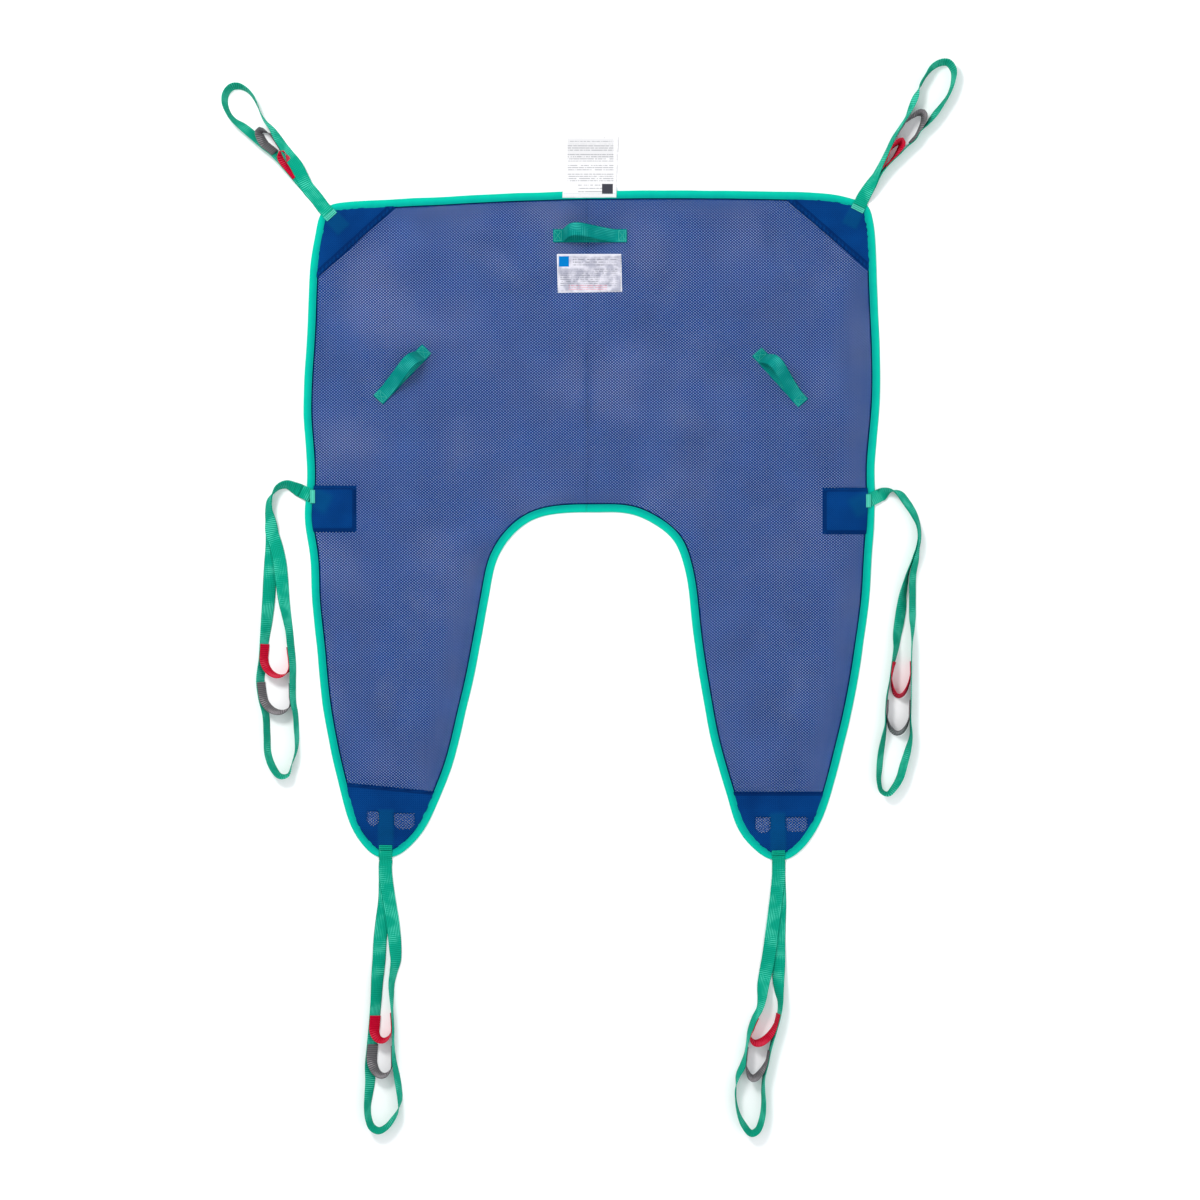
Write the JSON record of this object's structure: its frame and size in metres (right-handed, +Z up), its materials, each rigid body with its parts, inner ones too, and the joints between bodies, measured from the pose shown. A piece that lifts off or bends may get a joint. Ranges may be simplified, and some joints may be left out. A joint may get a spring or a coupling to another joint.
{
  "type": "patient lift sling",
  "caption": "Divided-leg patient lift sling of open mesh, lying flat, with edge binding, lift straps with coloured short loops, carry handles and blank labels.",
  "frame": {"origin": "on the floor, under the middle of the whole outline as it lies", "axes": "+Y from the leg ends to the head end, +X to the right seen from above, +Z up out of the outside face"},
  "size_m": [1.4112, 2.0684, 0.0409],
  "materials": {
    "mesh_blue": "open net, matt",
    "mesh_double": "two layers of net, matt",
    "binding_tape": "plain woven tape, matt",
    "webbing_green": "ribbed webbing, low sheen",
    "webbing_handle": "ribbed webbing, low sheen",
    "webbing_red": "ribbed webbing, low sheen",
    "webbing_grey": "ribbed webbing, low sheen",
    "thread": "sewing thread",
    "label_cloth": "printed cloth label, matt",
    "tag_sheet": "coated cloth sheet, matt"
  },
  "bodies": {
    "back": {"back_panel": "mesh_blue", "binding_head": "binding_tape", "binding_side_left": "binding_tape", "binding_side_right": "binding_tape", "binding_crotch": "binding_tape", "corner_patch_left": "mesh_double", "corner_patch_right": "mesh_double", "hip_patch_left": "mesh_double", "hip_patch_right": "mesh_double", "handle_top": "webbing_handle", "handle_left": "webbing_handle", "handle_right": "webbing_handle", "handle_top_base": "webbing_handle", "handle_left_base": "webbing_handle", "handle_right_base": "webbing_handle", "handle_stitching": "thread", "care_label": "label_cloth", "instruction_tag_hem": "tag_sheet", "back_bar_tacks": "thread", "shoulder_left_tab": "webbing_green", "shoulder_left_tail": "webbing_green", "shoulder_right_tab": "webbing_green", "shoulder_right_tail": "webbing_green", "hip_left_tab": "webbing_green", "hip_left_tail": "webbing_green", "hip_right_tab": "webbing_green", "hip_right_tail": "webbing_green"},
    "leg_left": {"leg_panel_left": "mesh_blue", "binding_leg_left": "binding_tape", "leg_patch_left": "mesh_double", "leg_left_tab": "webbing_green", "leg_left_tail": "webbing_green", "leg_left_bar_tacks": "thread"},
    "leg_right": {"leg_panel_right": "mesh_blue", "binding_leg_right": "binding_tape", "leg_patch_right": "mesh_double", "leg_right_tab": "webbing_green", "leg_right_tail": "webbing_green", "leg_right_bar_tacks": "thread"},
    "shoulder_left_strap": {"shoulder_left_strap": "webbing_green", "shoulder_left_red_loop": "webbing_red", "shoulder_left_grey_loop": "webbing_grey"},
    "shoulder_right_strap": {"shoulder_right_strap": "webbing_green", "shoulder_right_red_loop": "webbing_red", "shoulder_right_grey_loop": "webbing_grey"},
    "hip_left_strap": {"hip_left_strap": "webbing_green", "hip_left_red_loop": "webbing_red", "hip_left_grey_loop": "webbing_grey"},
    "hip_right_strap": {"hip_right_strap": "webbing_green", "hip_right_red_loop": "webbing_red", "hip_right_grey_loop": "webbing_grey"},
    "leg_left_strap": {"leg_left_strap": "webbing_green", "leg_left_red_loop": "webbing_red", "leg_left_grey_loop": "webbing_grey"},
    "leg_right_strap": {"leg_right_strap": "webbing_green", "leg_right_red_loop": "webbing_red", "leg_right_grey_loop": "webbing_grey"},
    "instruction_tag": {"instruction_tag": "tag_sheet"}
  },
  "joints": [
    {"name": "leg_left_fold", "type": "hinge", "parent": "back", "child": "leg_left", "pos_m": [-0.36, 0.073, 0.0013], "axis": [-1, 0, 0], "range_deg": [-90, 110]},
    {"name": "leg_right_fold", "type": "hinge", "parent": "back", "child": "leg_right", "pos_m": [0.36, 0.073, 0.0013], "axis": [-1, 0, 0], "range_deg": [-90, 110]},
    {"name": "shoulder_left_strap_hinge", "type": "hinge", "parent": "back", "child": "shoulder_left_strap", "pos_m": [-0.5095, 0.7485, 0.0019], "axis": [0.7396, 0.673, 0], "range_deg": [-90, 100]},
    {"name": "shoulder_right_strap_hinge", "type": "hinge", "parent": "back", "child": "shoulder_right_strap", "pos_m": [0.5238, 0.7642, 0.0019], "axis": [0.8942, -0.4478, 0], "range_deg": [-90, 100]},
    {"name": "hip_left_strap_hinge", "type": "hinge", "parent": "back", "child": "hip_left_strap", "pos_m": [-0.553, 0.2048, 0.0019], "axis": [0, 1, 0], "range_deg": [-90, 80]},
    {"name": "hip_right_strap_hinge", "type": "hinge", "parent": "back", "child": "hip_right_strap", "pos_m": [0.557, 0.1971, 0.0019], "axis": [0, -1, 0], "range_deg": [-90, 80]},
    {"name": "leg_left_strap_hinge", "type": "hinge", "parent": "leg_left", "child": "leg_left_strap", "pos_m": [-0.3925, -0.5018, 0.0019], "axis": [-1, 0, 0], "range_deg": [-90, 90]},
    {"name": "leg_right_strap_hinge", "type": "hinge", "parent": "leg_right", "child": "leg_right_strap", "pos_m": [0.3639, -0.508, 0.0019], "axis": [-1, 0, 0], "range_deg": [-90, 90]},
    {"name": "instruction_tag_fold", "type": "hinge", "parent": "back", "child": "instruction_tag", "pos_m": [0.001, 0.787, 0.0013], "axis": [1, 0, 0], "range_deg": [-90, 120]}
  ]
}
